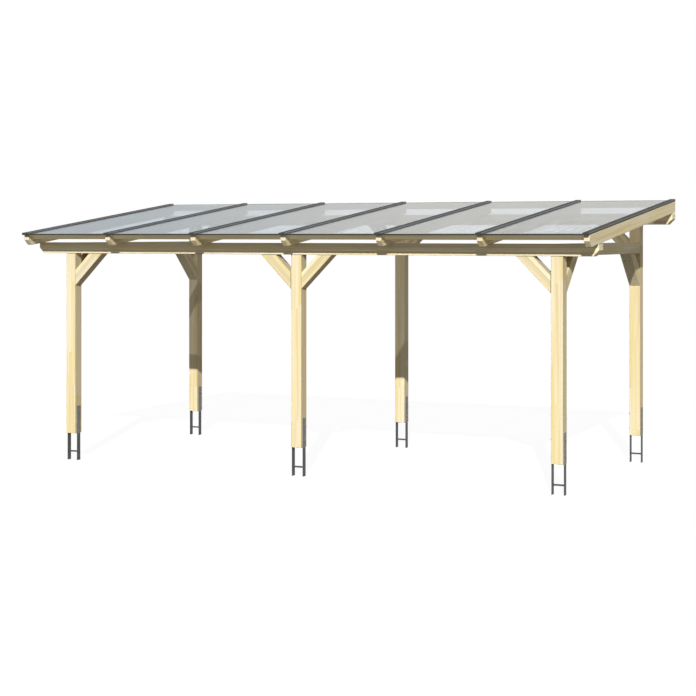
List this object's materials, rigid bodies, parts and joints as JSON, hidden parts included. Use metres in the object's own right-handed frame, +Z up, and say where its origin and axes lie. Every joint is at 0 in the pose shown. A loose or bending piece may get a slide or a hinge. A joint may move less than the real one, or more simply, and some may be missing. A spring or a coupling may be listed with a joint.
{
  "type": "free-standing timber patio cover",
  "caption": "Wide timber patio cover on posts in steel H-anchors, with corner braces, sloping rafters and a single-pitch roof of clear twin-wall sheets under metal bars.",
  "frame": {"origin": "on the ground, at the middle of the cover's outline", "axes": "+X along the front to the right, +Y from the low front to the high rear, +Z up"},
  "size_m": [6.48, 3.0026, 2.8776],
  "materials": {
    "timber": "planed spruce glulam, untreated, silk matt",
    "anchor_steel": "hot-dip galvanised, dull grey",
    "twin_wall_sheet": "clear twin-wall polycarbonate, glossy skins",
    "bar_aluminium": "mill-finish aluminium, grey, satin",
    "seal_rubber": "matt black"
  },
  "bodies": {
    "root": {"post_front_left": "timber", "post_front_centre": "timber", "post_front_right": "timber", "post_rear_left": "timber", "post_rear_centre": "timber", "post_rear_right": "timber", "front_purlin": "timber", "rear_purlin": "timber", "left_tie_beam": "timber", "right_tie_beam": "timber", "front_braces": "timber", "rear_braces": "timber", "left_braces": "timber", "right_braces": "timber", "rafter_1": "timber", "rafter_2": "timber", "rafter_3": "timber", "rafter_4": "timber", "rafter_5": "timber", "rafter_6": "timber", "rafter_7": "timber", "eaves_battens": "timber", "rear_battens": "timber", "anchor_front_left": "anchor_steel", "anchor_front_centre": "anchor_steel", "anchor_front_right": "anchor_steel", "anchor_rear_left": "anchor_steel", "anchor_rear_centre": "anchor_steel", "anchor_rear_right": "anchor_steel", "roof_sheet_1": "twin_wall_sheet", "roof_sheet_2": "twin_wall_sheet", "roof_sheet_3": "twin_wall_sheet", "roof_sheet_4": "twin_wall_sheet", "roof_sheet_5": "twin_wall_sheet", "roof_sheet_6": "twin_wall_sheet", "glazing_bar_1": "bar_aluminium", "glazing_bar_2": "bar_aluminium", "glazing_bar_3": "bar_aluminium", "glazing_bar_4": "bar_aluminium", "glazing_bar_5": "bar_aluminium", "glazing_bar_6": "bar_aluminium", "glazing_bar_7": "bar_aluminium", "front_edge_profiles": "bar_aluminium", "rear_edge_profiles": "bar_aluminium", "sheet_seals": "seal_rubber"}
  },
  "joints": []
}
